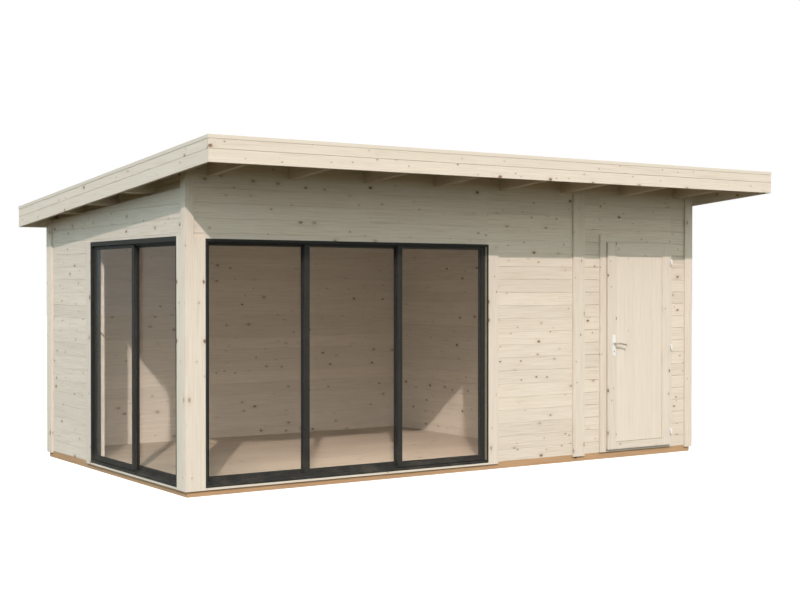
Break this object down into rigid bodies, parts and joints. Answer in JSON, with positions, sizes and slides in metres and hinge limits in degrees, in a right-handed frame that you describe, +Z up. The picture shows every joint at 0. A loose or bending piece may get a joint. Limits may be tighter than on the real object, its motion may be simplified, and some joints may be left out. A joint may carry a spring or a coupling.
{
  "type": "garden office pod",
  "caption": "Timber garden office with a low pent roof, sliding black-framed glazing on two sides and a separate store behind a plain boarded door.",
  "frame": {"origin": "on the ground under the middle of the roof's outline", "axes": "+X along the front towards the store door, +Y from front to back, +Z up"},
  "size_m": [5.75, 4.066, 2.6567],
  "materials": {
    "bearers": "brown pressure-treated timber, sawn",
    "floor": "plain softwood boards",
    "cladding": "untreated knotty softwood boards",
    "boards": "untreated knotty softwood, planed",
    "threshold": "planed softwood",
    "fascia": "untreated knotty softwood, planed",
    "roof_timber": "sawn softwood",
    "felt": "mineral-faced roofing felt",
    "black_frame": "matt black powder coat",
    "glass": "clear double glazing",
    "fittings": "satin steel",
    "trim": "painted edge strip"
  },
  "bodies": {
    "building": {"long_bearers": "bearers", "cross_bearers": "bearers", "floor_boards": "floor", "corner_post": "cladding", "front_header": "cladding", "front_panel": "cladding", "front_end_panel": "cladding", "door_header": "cladding", "left_header": "cladding", "left_rear_panel": "cladding", "back_wall": "cladding", "right_wall": "cladding", "partition": "cladding", "corner_boards": "boards", "cover_boards": "boards", "sill_boards": "boards", "door_frame": "boards", "door_threshold": "threshold", "front_fascia": "fascia", "side_fascias": "fascia", "back_fascia": "fascia", "rafters": "roof_timber", "lookouts": "roof_timber", "eaves_blocking": "roof_timber", "roof_boards": "roof_timber", "roof_felt": "felt", "front_glazing_frame": "black_frame", "front_sash_left": "black_frame", "side_glazing_frame": "black_frame", "side_sash_front": "black_frame", "front_glass_left": "glass", "side_glass_front": "glass", "hinge_frame_halves": "fittings", "edge_trim": "trim"},
    "store_door": {"door_leaf": "boards", "door_panel": "boards", "hinge_leaf_halves": "fittings", "handle_plates": "fittings"},
    "lever": {"door_lever": "fittings"},
    "right_sash": {"front_sash_right": "black_frame", "front_glass_right": "glass"},
    "middle_sash": {"front_sash_middle": "black_frame", "front_glass_middle": "glass"},
    "rear_sash": {"side_sash_rear": "black_frame", "side_glass_rear": "glass"}
  },
  "joints": [
    {"name": "store_door_swing", "type": "hinge", "parent": "building", "child": "store_door", "pos_m": [2.3675, -1.257, 1], "axis": [0, 0, 1], "range_deg": [0, 110]},
    {"name": "lever_turn", "type": "hinge", "parent": "store_door", "child": "lever", "pos_m": [1.638, -1.225, 1.068], "axis": [0, 1, 0], "range_deg": [0, 45], "stiffness_Nm_per_rad": 2, "springref_deg": -28.65},
    {"name": "right_sash_slide", "type": "slide", "parent": "building", "child": "right_sash", "axis": [-1, 0, 0], "range_m": [0, 1.74]},
    {"name": "middle_sash_slide", "type": "slide", "parent": "building", "child": "middle_sash", "axis": [-1, 0, 0], "range_m": [0, 0.87]},
    {"name": "rear_sash_slide", "type": "slide", "parent": "building", "child": "rear_sash", "axis": [0, -1, 0], "range_m": [0, 0.845]}
  ]
}
